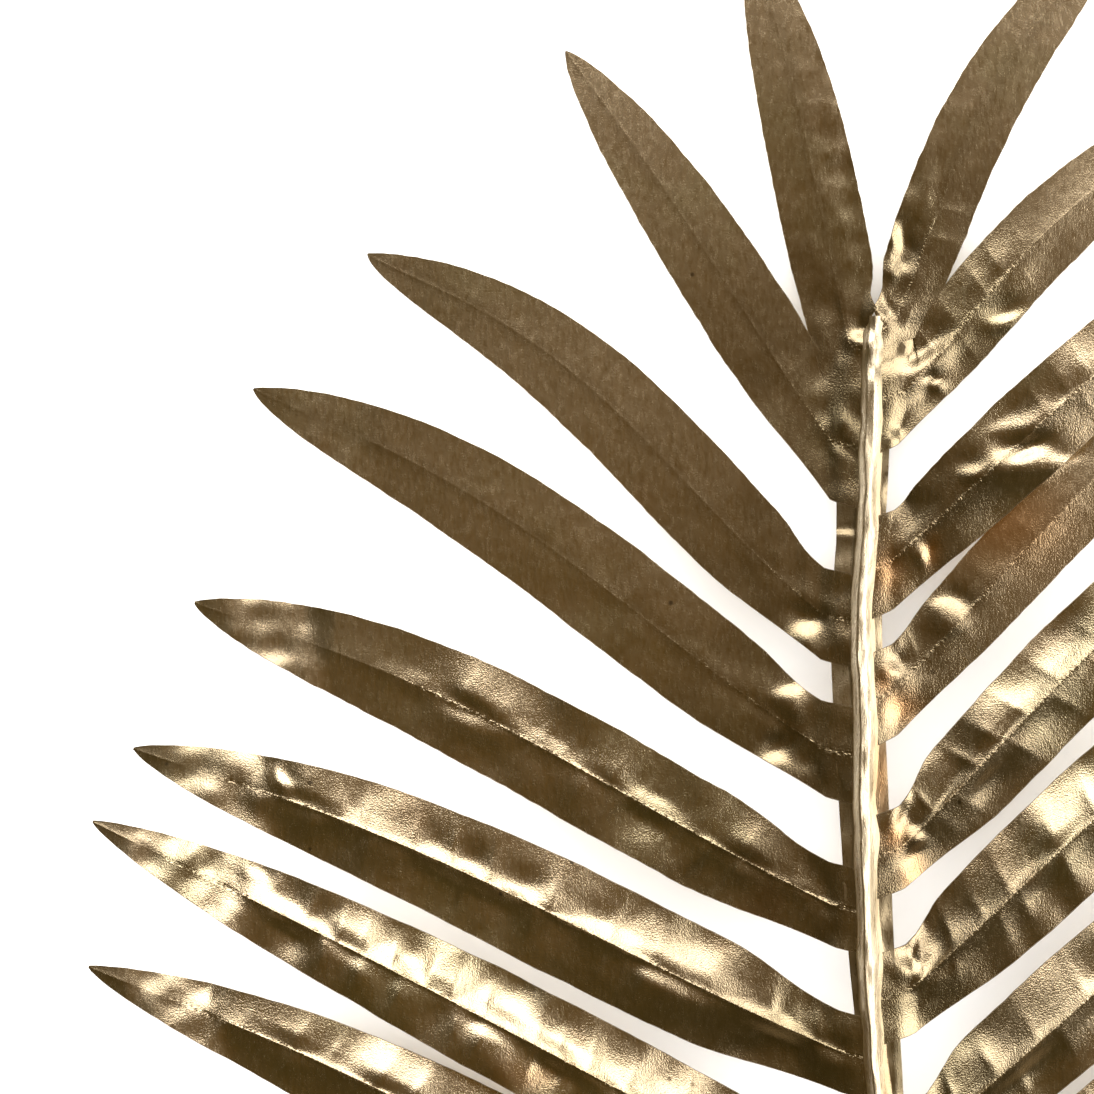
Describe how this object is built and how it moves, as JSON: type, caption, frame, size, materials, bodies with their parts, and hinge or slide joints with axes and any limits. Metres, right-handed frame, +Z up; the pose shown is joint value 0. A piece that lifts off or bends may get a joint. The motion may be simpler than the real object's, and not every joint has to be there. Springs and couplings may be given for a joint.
{
  "type": "gilded palm frond",
  "caption": "Pinnate palm frond with a satin bronze-gold finish: a rib with narrow webs, broad folded leaflets along both sides and a bare cut stalk, lying face up.",
  "frame": {"origin": "On the surface that the frond lies on, under the middle of its outline.", "axes": "+Z up, out of the frond's face. +Y along the rib, from the cut stalk to the tip. +X to the right of the rib as the face is seen."},
  "size_m": [0.4332, 0.7354, 0.0221],
  "materials": {
    "leaflet": "satin",
    "rachis": "satin"
  },
  "bodies": {
    "root": {"rachis": "rachis", "leaflet_left_01": "leaflet", "leaflet_left_02": "leaflet", "leaflet_left_03": "leaflet", "leaflet_left_04": "leaflet", "leaflet_left_05": "leaflet", "leaflet_left_06": "leaflet", "leaflet_left_07": "leaflet", "leaflet_left_08": "leaflet", "leaflet_left_09": "leaflet", "leaflet_left_10": "leaflet", "leaflet_left_11": "leaflet", "leaflet_left_12": "leaflet", "leaflet_right_01": "leaflet", "leaflet_right_02": "leaflet", "leaflet_right_03": "leaflet", "leaflet_right_04": "leaflet", "leaflet_right_05": "leaflet", "leaflet_right_06": "leaflet", "leaflet_right_07": "leaflet", "leaflet_right_08": "leaflet", "leaflet_right_09": "leaflet", "leaflet_right_10": "leaflet", "leaflet_right_11": "leaflet", "leaflet_right_12": "leaflet"}
  },
  "joints": []
}
